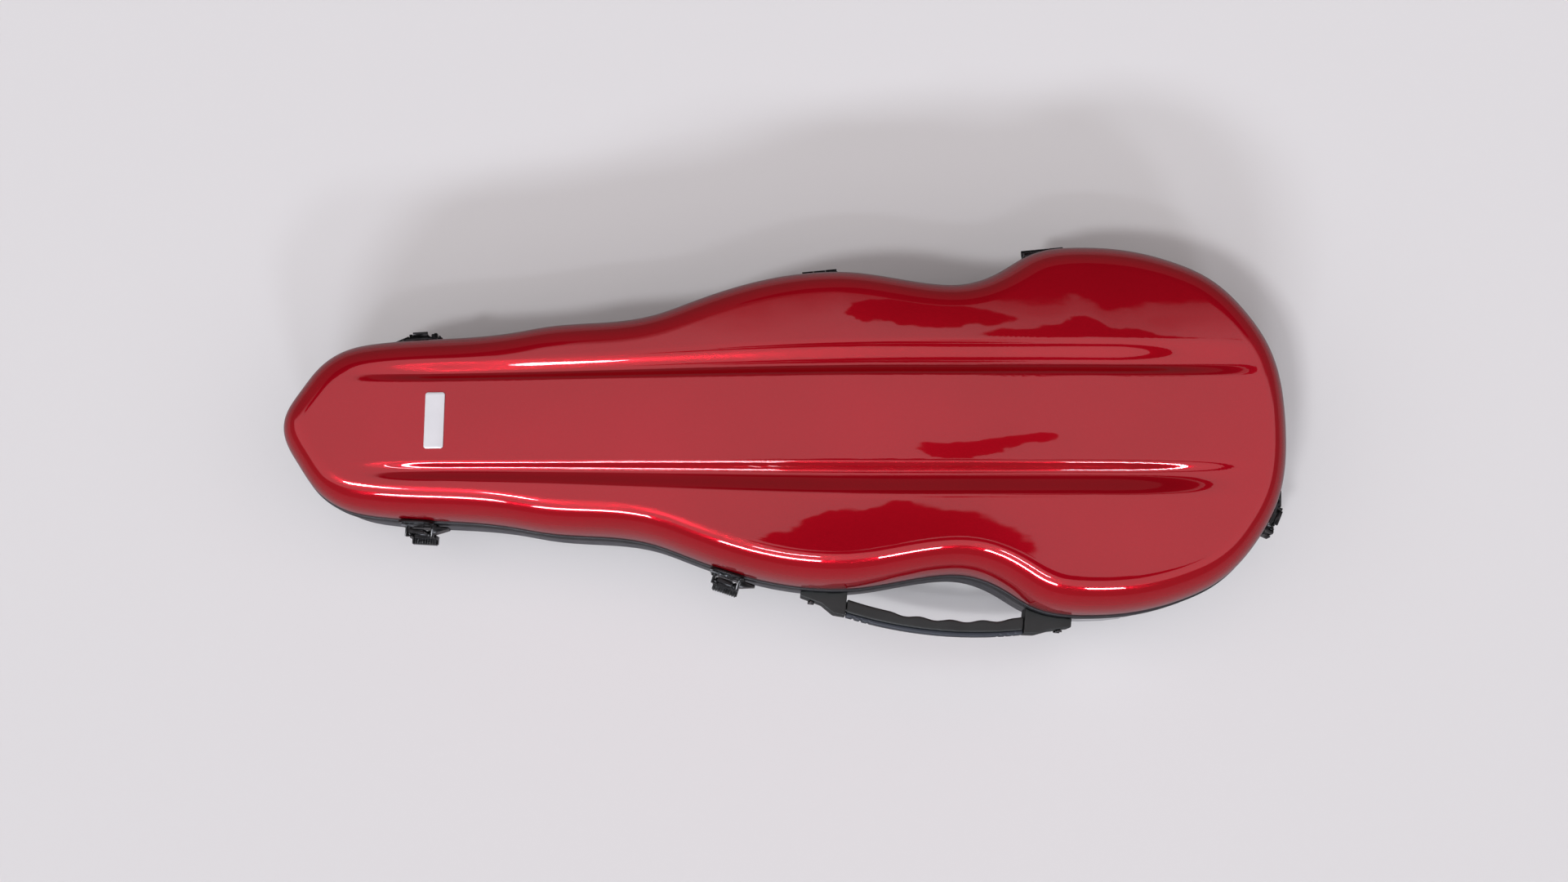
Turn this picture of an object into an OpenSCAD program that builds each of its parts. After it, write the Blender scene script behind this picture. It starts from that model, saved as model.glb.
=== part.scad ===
// Contoured violin case: a moulded lid and base, hinged along the back edge,
// held by four draw latches, with a carrying handle at the waist.
// The case lies on its feet. +X runs to the wide end, +Y to the hinges, +Z up.
// The origin is on the floor, under the middle of the case.

/* [Case] */
// Height of the seam between the lid and the base above the floor
seam_z = 74; // [70:1:80]
// Height of the lid above the seam at its highest place
lid_rise = 66; // [58:1:72]
// Drop of the lid's top from the body to the neck
neck_drop = 19; // [10:1:22]
// Thickness of the moulded shells
shell_wall = 2.4; // [2:0.2:2.8]
// Width of the lid's rounded shoulder
lid_shoulder = 26; // [22:1:28]
// Width of the base's rounded lower edge
base_shoulder = 20; // [18:1:24]

/* [Lid valleys] */
// Depth of the two valleys beside the centre panel
valley_depth = 7; // [4:0.5:8]
// Distance of the valleys from the centreline at the body
valley_offset = 46; // [44:1:48]

/* [Rims] */
// How far the rims stand out from the shells
rim_lip = 1.2; // [1:0.1:1.4]
// Height of each rim at the seam
rim_height = 5; // [5:0.5:6]
// Gap between the closed rims
seam_gap = 0.4; // [0.4:0.1:0.5]

/* [Interior] */
// Thickness of the padding in the lid
lid_padding = 5; // [4:0.5:6]
// Width of the channel for the violin's neck
neck_channel_width = 48; // [44:1:52]
// Height of the floor under the violin's body
cavity_floor_z = 22; // [20:1:26]

/* [Handle] */
// Distance between the two handle brackets, along the handle's axis
handle_span = 140.7; // [138:0.1:142]
// Thickness of the handle in plan
grip_thickness = 13.5; // [12:0.5:14]
// Height of the handle
grip_height = 20; // [18:1:22]
// How far the middle of the handle bows out
grip_bow = 7; // [5:0.5:8]

/* [Latches] */
// Width of the latch's thumb grip
thumb_width = 21; // [20:1:22]
// Number of ribs on the thumb grip
thumb_ribs = 10; // [6:1:12]

/* [Name plate] */
// Length of the blank name plate across the lid
plate_length = 44; // [30:1:50]
// Width of the blank name plate
plate_width = 15; // [10:1:18]

/* [Hidden] */

$fn = 48;
overlap = 1;
fine = 0.01;
shell_red = [0.62, 0.02, 0.05];
satin_black = [0.06, 0.06, 0.07];
soft_black = [0.1, 0.1, 0.11];
lining_grey = [0.22, 0.22, 0.24];
plate_silver = [0.85, 0.86, 0.86];

// ---- Outline of the case at the seam ----
// Each place is [x, half width, direction of travel in degrees].
outline_places = [
    [-395, 0, 90], [-377, 37, 60], [-333, 67.5, 9], [-200, 80, 12], [-89, 95.5, 22], [40, 126.5, 1],
    [131, 115, -3], [185, 134.5, 36], [240, 147, 0], [324, 130, -23], [376, 81.5, -57], [395, 0, -90]
];
// Outline of the well for the violin's body, in the same form
well_places = [[-36, 0, 90], [35, 88, 0], [130, 65, 0], [240, 109, 0], [330, 0, -90]];
curve_pull = 0.36;
outline_steps = 5;
well_steps = 9;

// One point of the curve that joins two places, t from 0 to 1
function curve_point(a, b, t) =
    let (
        pull = curve_pull * norm([b.x - a.x, b.y - a.y]),
        start = [a.x, a.y],
        leave = start + pull * [cos(a.z), sin(a.z)],
        end = [b.x, b.y],
        arrive = end - pull * [cos(b.z), sin(b.z)],
        s = 1 - t
    )
    s ^ 3 * start + 3 * s ^ 2 * t * leave + 3 * s * t ^ 2 * arrive + t ^ 3 * end;

// The back half of an outline, from its left end to its right end
function half_curve(places, steps) = [
    for (i = [0 : len(places) - 2])
        for (k = [0 : steps - 1]) curve_point(places[i], places[i + 1], k / steps),
    [places[len(places) - 1].x, 0]
];

// Outward unit normals of a half outline
function half_normals(half) =
    let (last = len(half) - 1)
    [
        for (i = [0 : last])
            i == 0 ? [-1, 0]
            : i == last ? [1, 0]
            : let (along = half[i + 1] - half[i - 1]) [-along.y, along.x] / norm(along)
    ];

// A closed loop from a half outline, with the front half mirrored from the back
function closed(half) = concat(
    half,
    [for (i = [len(half) - 2 : -1 : 1]) [half[i].x, -half[i].y]]
);

outline = half_curve(outline_places, outline_steps);
normals = half_normals(outline);
stations = len(outline) - 1;
well = half_curve(well_places, well_steps);

function inset(distance) = outline - distance * normals;

// A flat slice of the case's outline, inset by a distance, between two heights
module outline_slab(distance, low, high) {
    translate([0, 0, low])
        linear_extrude(high - low)
            polygon(closed(inset(distance)));
}

// A band that follows the outline between two insets
module outline_band(outer, inner, low, high) {
    difference() {
        outline_slab(outer, low, high);
        outline_slab(inner, low - overlap, high + overlap);
    }
}

// ---- Heights ----
lid_seam_z = seam_z + seam_gap;
hinge_z = seam_z + seam_gap / 2;
lid_edge_z = lid_seam_z + rim_height;
base_edge_z = seam_z - rim_height - 1;
top_z = seam_z + lid_rise;
foot_height = 4;
tongue_outer = 3;
tongue_inner = 5;
tongue_rise = 3;
gasket_inset = 0.6;
gasket_width = 1.8;
gasket_depth = 1.8;

// ---- Domed shells ----
// The shells' surfaces run in along rays from the outline to a spine on the centreline.
spine_left = -330;
spine_right = 250;
spine_spread = 0.3;

function spine_x(x) =
    x < spine_left ? spine_left + spine_spread * (x - spine_left)
    : x > spine_right ? spine_right + spine_spread * (x - spine_right)
    : x;

spine = [for (p = outline) [spine_x(p.x), 0]];

// 0 at low, 1 at high and smooth between
function ramp(v, low, high) =
    let (t = max(0, min(1, (v - low) / (high - low)))) t * t * (3 - 2 * t);

// Height of the lid along its centreline
function crown(x) = top_z - neck_drop * (1 - ramp(x, -390, 90)) - 6 * ramp(x, 215, 400);

camber = 0.0006;
function plain_roof(x, y) = crown(x) - camber * y * y;

valley_spread = 8;
function valley_mid(x) = valley_offset - valley_spread * (1 - ramp(x, -300, 100));
function valley_reach(x) = 7 + 5 * ramp(x, -300, 100);
function valley_strength(x) = (0.6 + 0.4 * ramp(x, -250, 60)) * ramp(x, -330, -230) * (1 - ramp(x, 300, 385));

function valley(x, y) =
    let (away = min(1, abs(abs(y) - valley_mid(x)) / valley_reach(x)))
    valley_depth * valley_strength(x) * (1 + cos(180 * away)) / 2;

function valley_roof(x, y) = plain_roof(x, y) - valley(x, y);

// Places across the roof, as shares of the way from the spine to the shoulder
function shares(x, reach) =
    let (
        far = max(reach, 1),
        outer = min(0.86, (valley_mid(x) + valley_reach(x)) / far),
        mid = min(0.72, valley_mid(x) / far),
        inner = min(0.55, (valley_mid(x) - valley_reach(x)) / far)
    )
    [(1 + outer) / 2, outer, (outer + mid) / 2, mid, (mid + inner) / 2, inner, inner / 2];

full_shares = [0, 1, 2, 3, 4, 5, 6];
few_shares = [1, 3, 5];

// Where the ray of station i reaches a distance in from the edge
function ray_place(edge, i, distance) =
    let (
        ray = spine[i] - edge[i],
        slant = max(0.5, -(normals[i] * ray) / norm(ray))
    )
    edge[i] + min(0.62, distance / slant / norm(ray)) * ray;

// The shoulder is a quarter of a rounded square: turn 0 at the edge, 90 at the roof
function shoulder_in(turn, power) = 1 - cos(turn) ^ (2 / power);
function shoulder_up(turn, power) = sin(turn) ^ (2 / power);

// Rings of [x, y, share of height] from the edge inward, each over all stations
function edge_rings(edge, width, turns, power) = [
    for (turn = turns)
        [for (i = [0 : stations])
            let (p = ray_place(edge, i, width * shoulder_in(turn, power)))
            [p.x, p.y, shoulder_up(turn, power)]]
];

function roof_rings(edge, width, picks) = [
    for (pick = picks)
        [for (i = [0 : stations])
            let (
                p = ray_place(edge, i, width),
                share = shares(p.x, p.y)[pick],
                q = spine[i] + share * (p - spine[i])
            )
            [q.x, q.y, 1]]
];

// Closed solid through loops that run from one spine, around the edge, to the other
function loop_index(k) = k % (2 * stations);
function spine_index(k) = k % (2 * stations) <= stations ? k % (2 * stations) : 2 * stations - k;

function around(ring) = concat(
    ring,
    [for (i = [stations - 1 : -1 : 1]) [ring[i].x, -ring[i].y, ring[i].z]]
);

// Two triangles split from a to c
function quad(a, b, c, d, flip) = flip ? [[c, b, a], [d, c, a]] : [[a, b, c], [a, c, d]];

// The same, split the other way where that would lie along the centreline
function cap_quad(a, b, c, d, other, flip) = other ? quad(b, c, d, a, flip) : quad(a, b, c, d, flip);
function first_half(k) = k % stations < stations / 2;

module shell_solid(rings, first_spine, last_spine, flip) {
    loops = len(rings);
    size = 2 * stations;
    spine_a = loops * size;
    spine_b = spine_a + stations + 1;
    points = concat([for (ring = rings) each around(ring)], first_spine, last_spine);
    faces = concat(
        [for (j = [0 : loops - 2]) for (k = [0 : size - 1])
            let (here = j * size, next = here + size, k1 = loop_index(k + 1))
            each quad(next + k, next + k1, here + k1, here + k, flip)],
        [for (k = [0 : size - 1])
            let (k1 = loop_index(k + 1))
            each cap_quad(
                k, k1, spine_a + spine_index(k1), spine_a + spine_index(k), first_half(k), flip
            )],
        [for (k = [0 : size - 1])
            let (k1 = loop_index(k + 1), here = (loops - 1) * size)
            each cap_quad(
                spine_b + spine_index(k), spine_b + spine_index(k1), here + k1, here + k, !first_half(k), flip
            )]
    );
    polyhedron(points, faces);
}

function reversed(list) = [for (i = [len(list) - 1 : -1 : 0]) list[i]];

fine_turns = [0, 12, 28, 44, 60, 75, 90];
coarse_turns = [0, 24, 48, 70, 90];

// ---- Lid ----
lid_power = 2.5;

function lid_lift(ring, low, drop) = [
    for (p = ring) [p.x, p.y, low + (valley_roof(p.x, p.y) - drop - low) * p.z]
];

function dome_lift(ring, low, drop) = [
    for (p = ring) [p.x, p.y, low + (plain_roof(p.x, p.y) - drop - low) * p.z]
];

function on_spine(height_share) = [for (p = spine) [p.x, 0, height_share]];

module lid_shell() {
    inner_edge = inset(shell_wall);
    outer = concat(
        edge_rings(outline, lid_shoulder, fine_turns, lid_power),
        roof_rings(outline, lid_shoulder, full_shares)
    );
    inner = concat(
        edge_rings(inner_edge, lid_shoulder, coarse_turns, lid_power),
        roof_rings(inner_edge, lid_shoulder, few_shares)
    );
    inner_drop = shell_wall + 0.6;
    color(shell_red)
        shell_solid(
            concat(
                [for (ring = reversed(outer)) lid_lift(ring, lid_edge_z, 0)],
                [for (ring = inner) lid_lift(ring, lid_edge_z, inner_drop)]
            ),
            lid_lift(on_spine(1), lid_edge_z, 0),
            lid_lift(on_spine(1), lid_edge_z, inner_drop),
            false
        );
}

module lid_rim() {
    color(satin_black)
        outline_band(-rim_lip, shell_wall, lid_seam_z, lid_edge_z);
}

liner_gap = 0.6;
liner_drop = shell_wall + valley_depth + 1.4;
liner_low_z = lid_edge_z + 0.6;

module lid_liner() {
    outer_edge = inset(shell_wall + liner_gap);
    inner_edge = inset(shell_wall + liner_gap + lid_padding);
    outer = concat(
        edge_rings(outer_edge, lid_shoulder, coarse_turns, lid_power),
        roof_rings(outer_edge, lid_shoulder, [1, 5])
    );
    inner = concat(
        edge_rings(inner_edge, lid_shoulder - lid_padding, coarse_turns, lid_power),
        roof_rings(inner_edge, lid_shoulder - lid_padding, [1, 5])
    );
    color(lining_grey)
        shell_solid(
            concat(
                [for (ring = reversed(outer)) dome_lift(ring, liner_low_z, liner_drop)],
                [for (ring = inner) dome_lift(ring, liner_low_z, liner_drop + lid_padding)]
            ),
            dome_lift(on_spine(1), liner_low_z, liner_drop),
            dome_lift(on_spine(1), liner_low_z, liner_drop + lid_padding),
            false
        );
}

plate_x = -269;
plate_thickness = 0.9;

module name_plate() {
    corner = 2;
    slope = atan((crown(plate_x + 1) - crown(plate_x - 1)) / 2);
    color(plate_silver)
        translate([plate_x, 0, crown(plate_x) + 0.1])
            rotate([0, -slope, 0])
                linear_extrude(plate_thickness)
                    union() {
                        square([plate_width - 2 * corner, plate_length], center = true);
                        square([plate_width, plate_length - 2 * corner], center = true);
                        for (sx = [-1, 1])
                            for (sy = [-1, 1])
                                translate([sx * (plate_width / 2 - corner), sy * (plate_length / 2 - corner)])
                                    circle(corner);
                    }
}

sticker_left = 230;
sticker_right = 272;
sticker_low = 30;
sticker_high = 62;

module side_sticker() {
    color(plate_silver)
        intersection() {
            outline_band(-0.4, -0.05, sticker_low, sticker_high);
            translate([sticker_left, -200, sticker_low - overlap])
                cube([sticker_right - sticker_left, 200, sticker_high - sticker_low + 2 * overlap]);
        }
}

// ---- Base ----
base_power = 5;

function base_sink(ring, high, low) = [for (p = ring) [p.x, p.y, high + (low - high) * p.z]];

module base_shell() {
    inner_edge = inset(shell_wall);
    inner_floor = foot_height + shell_wall;
    outer = edge_rings(outline, base_shoulder, fine_turns, base_power);
    inner = edge_rings(inner_edge, base_shoulder, coarse_turns, base_power);
    color(satin_black)
        shell_solid(
            concat(
                [for (ring = reversed(outer)) base_sink(ring, base_edge_z, foot_height)],
                [for (ring = inner) base_sink(ring, base_edge_z, inner_floor)]
            ),
            base_sink(on_spine(1), base_edge_z, foot_height),
            base_sink(on_spine(1), base_edge_z, inner_floor),
            true
        );
}

module base_rim() {
    skirt = 4;
    color(satin_black)
        difference() {
            union() {
                outline_band(-rim_lip, tongue_inner, base_edge_z, seam_z);
                outline_band(tongue_outer, tongue_inner, seam_z - overlap, seam_z + tongue_rise);
                outline_band(-rim_lip, -0.1, base_edge_z - skirt, base_edge_z + overlap);
            }
            outline_band(gasket_inset, gasket_inset + gasket_width, seam_z - gasket_depth, seam_z + overlap);
        }
}

module rim_gasket() {
    color(soft_black)
        outline_band(gasket_inset + 0.05, gasket_inset + gasket_width - 0.05, seam_z - gasket_depth, seam_z + 0.1);
}

liner_top_z = seam_z - 3;
liner_step_z = 22;
liner_low_inset = 30;
liner_high_inset = 9;
tray_right = -288;
tray_inset = 17;
tray_low_z = 26;
tray_wall = 2;

module well_solid(low, high) {
    translate([0, 0, low])
        linear_extrude(high - low)
            polygon(closed(well));
}

// The compartment beyond the violin's scroll
module tray_block(extra, low, high) {
    intersection() {
        outline_slab(tray_inset - extra, low, high);
        translate([-500, -200, low - overlap])
            cube([500 + tray_right + extra, 400, high - low + 2 * overlap]);
    }
}

channel_left = tray_right + 8;

module base_liner() {
    color(lining_grey)
        difference() {
            union() {
                outline_slab(liner_high_inset, liner_step_z, liner_top_z);
                outline_slab(liner_low_inset, foot_height + shell_wall + 0.3, liner_step_z + overlap);
            }
            well_solid(cavity_floor_z, seam_z);
            translate([channel_left, -neck_channel_width / 2, 30])
                cube([250, neck_channel_width, seam_z]);
            tray_block(0.3, tray_low_z - 0.3, seam_z);
        }
}

pad_thickness = 12;

module cavity_pads() {
    color(lining_grey)
        intersection() {
            translate([0, 0, cavity_floor_z])
                linear_extrude(pad_thickness)
                    polygon(closed([for (i = [0 : len(well) - 1]) well[i] - 2 * half_normals(well)[i]]));
            union() {
                translate([-30, -60, 0])
                    cube([44, 120, 60]);
                translate([288, -70, 0])
                    cube([36, 140, 60]);
            }
        }
}

cradle_x = -72;

module neck_cradle() {
    length = 26;
    notch_radius = 15;
    top = seam_z - 10;
    color(lining_grey)
        difference() {
            translate([cradle_x - length / 2, -neck_channel_width / 2 + 0.2, 30])
                cube([length, neck_channel_width - 0.4, top - 30]);
            translate([cradle_x - length / 2 - overlap, 0, top])
                rotate([0, 90, 0])
                    cylinder(h = length + 2 * overlap, r = notch_radius);
        }
}

module neck_strap() {
    width = 38;
    strap_x = -125;
    color(soft_black)
        translate([strap_x - width / 2, -neck_channel_width / 2 - 14, liner_top_z])
            cube([width, neck_channel_width + 28, 1.5]);
}

module accessory_tray() {
    color(lining_grey)
        difference() {
            tray_block(0, tray_low_z, liner_top_z);
            intersection() {
                outline_slab(tray_inset + tray_wall, tray_low_z + tray_wall, seam_z);
                translate([-500, -200, 0])
                    cube([500 + tray_right - tray_wall, 400, 100]);
            }
        }
}

foot_radius = 9;
foot_places = [[-300, 30], [-300, -30], [290, 88], [290, -88]];

module feet() {
    color(soft_black)
        for (place = foot_places)
            translate([place.x, place.y, 0])
                cylinder(h = foot_height, r = foot_radius);
}

// ---- Hinges ----
// Both hinges turn on one line, which rises 1 in 10 from the neck to the wide end.
hinge_line_y = 129;
hinge_rise = 0.1;
hinge_turn = atan(hinge_rise);
hinge_upper = [30, 28];
hinge_lower = [212, 34];
knuckle_radius = 2.6;
hinge_pin_radius = 1.2;
running_gap = 0.05;
leaf_near = 3;
leaf_height = 13;
knuckle_gap = 0.4;
rivet_radius = 1.4;
rivet_head_radius = 2.3;
rivet_head = 0.9;

// Moves a shape drawn along a hinge's axis to its place; +Y points out of the case
module at_hinge(hinge) {
    translate([hinge[0], hinge_line_y + hinge_rise * hinge[0], hinge_z])
        rotate([0, 0, hinge_turn])
            children();
}

module along_x(length, radius) {
    translate([-length / 2, 0, 0])
        rotate([0, 90, 0])
            cylinder(h = length, r = radius);
}

// Starts and lengths of the middle knuckle and of the two outer knuckles
function middle_knuckle(width) = [[-width / 6, width / 3]];
function outer_knuckles(width) = [
    [-width / 2, width / 3 - knuckle_gap],
    [width / 6 + knuckle_gap, width / 3 - knuckle_gap]
];

// side is 1 for the lid's leaf, which stands up, and -1 for the base's leaf
module hinge_leaf(hinge, side, knuckles) {
    width = hinge[1];
    seam_clear = 0.3;
    web_height = knuckle_radius - 0.4;
    color(satin_black)
        difference() {
            at_hinge(hinge)
                union() {
                    for (knuckle = knuckles) {
                        translate([knuckle[0] + knuckle[1] / 2, 0, 0])
                            along_x(knuckle[1], knuckle_radius);
                        translate([knuckle[0], -leaf_near - overlap, side > 0 ? seam_clear : -web_height])
                            cube([knuckle[1], leaf_near + overlap, web_height - seam_clear]);
                    }
                    translate([-width / 2, -leaf_near - 6, side > 0 ? seam_clear : -leaf_height])
                        cube([width, 6, leaf_height - seam_clear]);
                }
            outline_slab(-rim_lip, 0, top_z);
            at_hinge(hinge)
                along_x(width + 2 * overlap, hinge_pin_radius + running_gap);
            hinge_rivet_holes(hinge, side);
        }
}

rivet_rise = 9.5;

module at_hinge_rivets(hinge, side) {
    at_hinge(hinge)
        for (share = [-0.32, 0.32])
            translate([share * hinge[1], -leaf_near, side * rivet_rise])
                rotate([90, 0, 0])
                    children();
}

module hinge_rivet_holes(hinge, side) {
    at_hinge_rivets(hinge, side)
        translate([0, 0, -overlap])
            cylinder(h = 8, r = rivet_radius);
}

module hinge_rivets(side) {
    color(satin_black)
        for (hinge = [hinge_upper, hinge_lower])
            difference() {
                at_hinge_rivets(hinge, side)
                    union() {
                        translate([0, 0, -rivet_head])
                            cylinder(h = rivet_head, r = rivet_head_radius);
                        cylinder(h = 7, r = rivet_radius - fine);
                    }
                outline_slab(-rim_lip, 0, top_z);
            }
}

module lid_leaf_upper() {
    hinge_leaf(hinge_upper, 1, middle_knuckle(hinge_upper[1]));
}

module lid_leaf_lower() {
    hinge_leaf(hinge_lower, 1, middle_knuckle(hinge_lower[1]));
}

module lid_leaf_rivets() {
    hinge_rivets(1);
}

module base_leaf_upper() {
    hinge_leaf(hinge_upper, -1, outer_knuckles(hinge_upper[1]));
}

module base_leaf_lower() {
    hinge_leaf(hinge_lower, -1, outer_knuckles(hinge_lower[1]));
}

module base_leaf_rivets() {
    hinge_rivets(-1);
}

module hinge_pins() {
    color(satin_black)
        for (hinge = [hinge_upper, hinge_lower])
            at_hinge(hinge)
                along_x(hinge[1], hinge_pin_radius);
}

// ---- Latches ----
// Each latch is drawn with x along the edge, -y out of the case and z up from the seam.
latch_front_neck = [-289, -73.2, -3.4];
latch_front_body = [-43.4, -113.4, -18.6];
latch_back_neck = [-292, 73.1, 183.4];
latch_end = [385.5, -66.8, 66];

lever_pin_out = 7.4;
lever_pin_z = -8;
hook_pin_out = 5.9;
hook_pin_z = -17;
lever_pin_radius = 1.2;
hook_pin_radius = 1;
ear_inner = 6.6;
ear_outer = 8.6;
cheek_inner = 9;
cheek_outer = 11.2;
latch_plate_half = 14;
hook_half = 5.9;
ear_radius = 2.5;
hook_top_z = 6;
hook_near = 5;
keeper_reach = 4;

module at_latch(latch) {
    translate([latch[0], latch[1], hinge_z])
        rotate([0, 0, latch[2]])
            children();
}

// A block given by its span along the edge, its span outward and its span in height
module block(along, out, up) {
    translate([along[0], -out[1], up[0]])
        cube([along[1] - along[0], out[1] - out[0], up[1] - up[0]]);
}

// A rod along the edge at a distance out and a height
module rod(along, out, up, radius) {
    translate([(along[0] + along[1]) / 2, -out, up])
        along_x(along[1] - along[0], radius);
}

module keeper(latch) {
    plate_high = 15;
    plate_round = 7;
    color(satin_black)
        difference() {
            at_latch(latch)
                union() {
                    intersection() {
                        block([-latch_plate_half, latch_plate_half], [-3, 1.6], [0.5, plate_high]);
                        translate([0, 5, plate_high - plate_round])
                            rotate([90, 0, 0])
                                union() {
                                    for (side = [-1, 1])
                                        translate([side * (latch_plate_half - plate_round), 0, 0])
                                            cylinder(h = 20, r = plate_round);
                                    translate([-latch_plate_half + plate_round, -plate_round, 0])
                                        cube([2 * (latch_plate_half - plate_round), 2 * plate_round, 20]);
                                }
                    }
                    block([-hook_half, hook_half], [0, keeper_reach], [4, 8]);
                }
            outline_slab(-rim_lip, 0, top_z);
            at_keeper_rivets(latch)
                cylinder(h = 12, r = rivet_radius, center = true);
        }
}

module at_keeper_rivets(latch) {
    at_latch(latch)
        for (side = [-1, 1])
            translate([side * 9, 0, 9])
                rotate([90, 0, 0])
                    children();
}

module keeper_rivets() {
    color(satin_black)
        difference() {
            for (latch = [latch_front_neck, latch_front_body, latch_back_neck, latch_end])
                at_keeper_rivets(latch)
                    union() {
                        translate([0, 0, -3])
                            cylinder(h = 4.6, r = rivet_radius - fine);
                        translate([0, 0, 1.6])
                            cylinder(h = rivet_head, r = rivet_head_radius);
                    }
            outline_slab(-rim_lip, 0, top_z);
        }
}

module at_latch_rivets(latch) {
    at_latch(latch)
        for (side = [-1, 1])
            translate([side * 11.4, 0, -21])
                rotate([90, 0, 0])
                    children();
}

plate_out = 2.2;
plate_low = -27;

module latch_plate(latch) {
    wedge_reach = 9;
    color(satin_black)
        difference() {
            at_latch(latch)
                union() {
                    block([-latch_plate_half, latch_plate_half], [-4, plate_out], [plate_low, -0.5]);
                    for (side = [-1, 1])
                        block(
                            side > 0 ? [cheek_inner, cheek_outer] : [-cheek_outer, -cheek_inner],
                            [plate_out - overlap, lever_pin_out + ear_radius],
                            [lever_pin_z - ear_radius, lever_pin_z + ear_radius]
                        );
                    translate([0, 0, -14])
                        linear_extrude(12)
                            polygon([
                                [cheek_outer - fine, -plate_out + overlap],
                                [cheek_outer - fine, -lever_pin_out],
                                [latch_plate_half + wedge_reach, -plate_out - 0.8],
                                [latch_plate_half + wedge_reach, -plate_out + overlap]
                            ]);
                }
            outline_slab(-rim_lip, 0, top_z);
            at_latch(latch)
                rod([-20, cheek_outer], lever_pin_out, lever_pin_z, lever_pin_radius + running_gap);
            at_latch_rivets(latch)
                cylinder(h = 20, r = rivet_radius, center = true);
        }
}

module latch_rivets() {
    color(satin_black)
        difference() {
            for (latch = [latch_front_neck, latch_front_body, latch_back_neck, latch_end])
                at_latch_rivets(latch)
                    union() {
                        translate([0, 0, -4])
                            cylinder(h = 4 + plate_out, r = rivet_radius - fine);
                        translate([0, 0, plate_out])
                            cylinder(h = rivet_head, r = rivet_head_radius);
                    }
            outline_slab(-rim_lip, 0, top_z);
        }
}

module lever_pins() {
    color(satin_black)
        for (latch = [latch_front_neck, latch_front_body, latch_back_neck, latch_end])
            at_latch(latch)
                for (side = [-1, 1])
                    rod(
                        side > 0 ? [ear_inner, cheek_outer] : [-cheek_outer, -ear_inner],
                        lever_pin_out, lever_pin_z, lever_pin_radius
                    );
}

module lever(latch) {
    grip_low = -34;
    grip_high = -20.6;
    rib_pitch = (thumb_width - 3) / (thumb_ribs - 1);
    color(satin_black)
        at_latch(latch)
            difference() {
                union() {
                    for (side = [-1, 1]) {
                        span = side > 0 ? [ear_inner, ear_outer] : [-ear_outer, -ear_inner];
                        rod(span, lever_pin_out, lever_pin_z, ear_radius);
                        rod(span, hook_pin_out, hook_pin_z, ear_radius);
                        block(span, [hook_pin_out - 1.6, lever_pin_out + 2], [grip_high - 2, lever_pin_z - 1]);
                    }
                    block([-thumb_width / 2, thumb_width / 2], [6.2, 9.4], [grip_low, grip_high]);
                    block([-thumb_width / 2, thumb_width / 2], [9, 12.6], [grip_low, grip_low + 4]);
                    for (i = [0 : thumb_ribs - 1])
                        translate([1.5 - thumb_width / 2 + i * rib_pitch, 0, 0])
                            block([-0.5, 0.5], [9, 13.4], [grip_low, grip_low + 7]);
                }
                rod([-20, 20], lever_pin_out, lever_pin_z, lever_pin_radius + running_gap);
                rod([-20, 20], hook_pin_out, hook_pin_z, hook_pin_radius + fine);
            }
}

module hook(latch) {
    color(satin_black)
        at_latch(latch)
            difference() {
                union() {
                    rod([-hook_half, hook_half], hook_pin_out, hook_pin_z, 2.3);
                    block([-hook_half, hook_half], [hook_near, 6.8], [hook_pin_z, hook_top_z]);
                    block([-hook_half, hook_half], [hook_near, 8.4], [hook_top_z - 2, hook_top_z]);
                }
                rod([-20, 20], hook_pin_out, hook_pin_z, hook_pin_radius + running_gap);
            }
}

module hook_pin(latch) {
    color(satin_black)
        at_latch(latch)
            rod([-ear_outer, ear_outer], hook_pin_out, hook_pin_z, hook_pin_radius);
}

// ---- Handle ----
// Drawn with x along the handle's axis and -y out of the case.
handle_x = 120;
handle_y = -146.5;
handle_z = 59;
handle_turn = -atan(0.1);
handle_pin_radius = 3;
grip_end_gap = 0.4;
band_thickness = 3;

module at_handle() {
    translate([handle_x, handle_y, handle_z])
        rotate([0, 0, handle_turn])
            children();
}

grip_half = handle_span / 2 - grip_end_gap;

function bow_out(x) = grip_bow * (1 - (x / grip_half) ^ 2);

wave_depth = 1.8;
wave_count = 4;
wave_left = -36;
wave_right = 62;
wave_pitch = (wave_right - wave_left) / wave_count;

function wave(x) = x < wave_left || x > wave_right ? 0 : wave_depth * (1 - cos(360 * (x - wave_left) / wave_pitch)) / 2;

grip_steps = 48;
grip_marks = [for (i = [0 : grip_steps]) -grip_half + 2 * grip_half * i / grip_steps];
end_flare = 1;

function grip_inner(x) = -bow_out(x) + grip_thickness / 2 - end_flare + end_flare * (x / grip_half) ^ 2 - wave(x);
function grip_outer(x) = -bow_out(x) - grip_thickness / 2 + band_thickness;

module handle_pin_bores(radius) {
    rod([-grip_half - 10, -grip_half + 12], 0, 0, radius);
    rod([grip_half - 12, grip_half + 10], 0, 0, radius);
}

module handle_grip() {
    color(soft_black)
        at_handle()
            difference() {
                translate([0, 0, -grip_height / 2])
                    linear_extrude(grip_height)
                        polygon(concat(
                            [for (x = grip_marks) [x, grip_outer(x)]],
                            [for (x = reversed(grip_marks)) [x, grip_inner(x)]]
                        ));
                handle_pin_bores(handle_pin_radius + fine);
            }
}

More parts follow.
